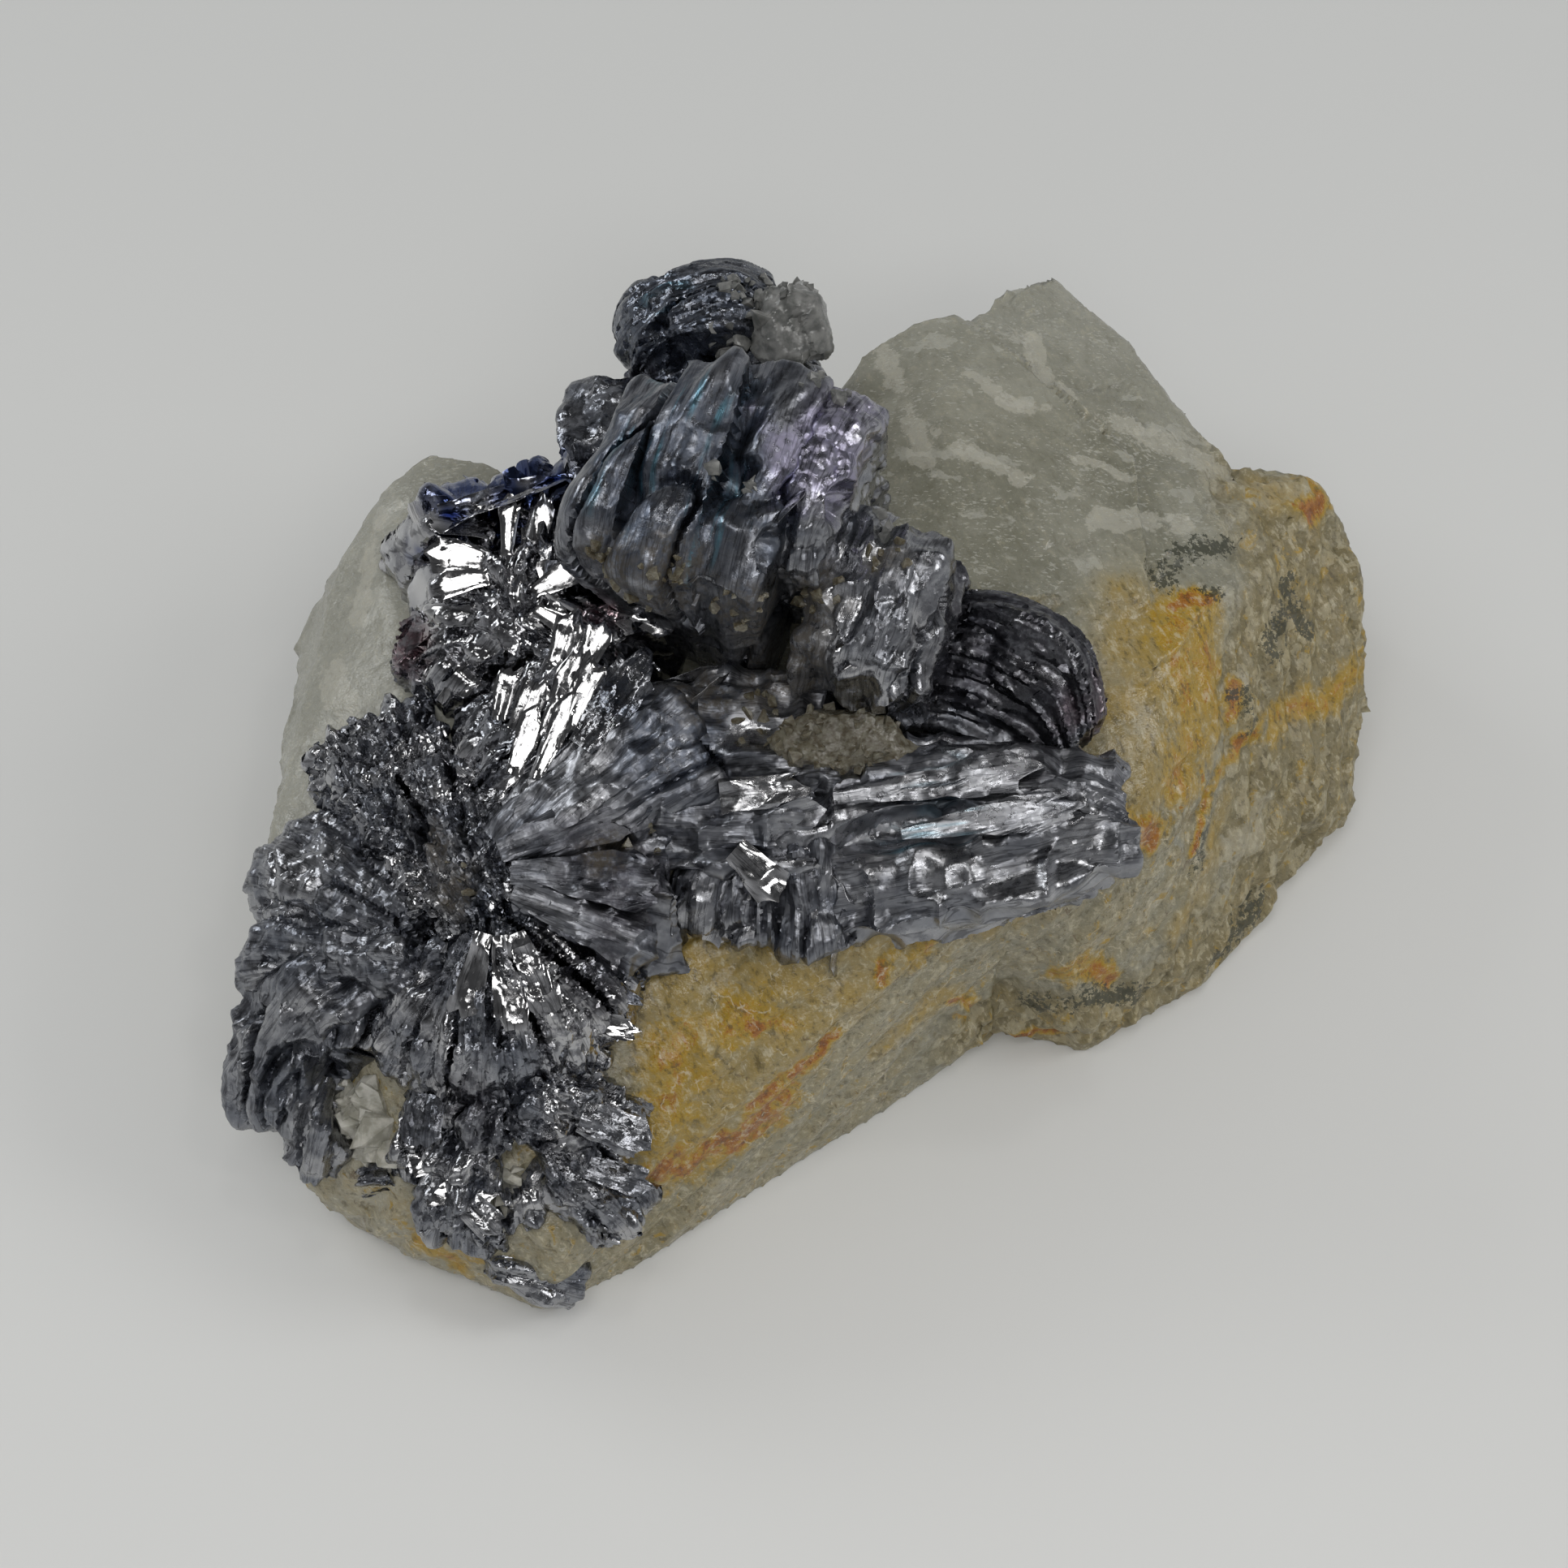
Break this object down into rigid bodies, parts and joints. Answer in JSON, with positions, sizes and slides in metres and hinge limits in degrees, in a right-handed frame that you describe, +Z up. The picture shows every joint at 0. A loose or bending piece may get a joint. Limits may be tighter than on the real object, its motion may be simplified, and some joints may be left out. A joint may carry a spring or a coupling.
{
  "type": "molybdenite rosette specimen",
  "caption": "Mineral specimen: metallic molybdenite rosettes of stacked leaves, with a raised tower, grown over a broken lump of milky, iron-stained quartz resting on its flat base.",
  "frame": {"origin": "middle of the specimen's box, on the flat underside that it rests on", "axes": "+Z up; +X to the right of the front view, along the lump's longest side; -Y is the front, where the stained quartz face shows"},
  "size_m": [0.0858, 0.0806, 0.0488],
  "materials": {
    "milky_quartz": "satin",
    "stained_quartz": "satin",
    "molybdenite": "gloss"
  },
  "bodies": {
    "root": {"quartz_matrix": "milky_quartz", "molybdenite_rosettes": "molybdenite", "quartz_knob": "milky_quartz", "quartz_pocket": "stained_quartz", "foot_crystal": "molybdenite", "left_crystal": "molybdenite"}
  },
  "joints": []
}
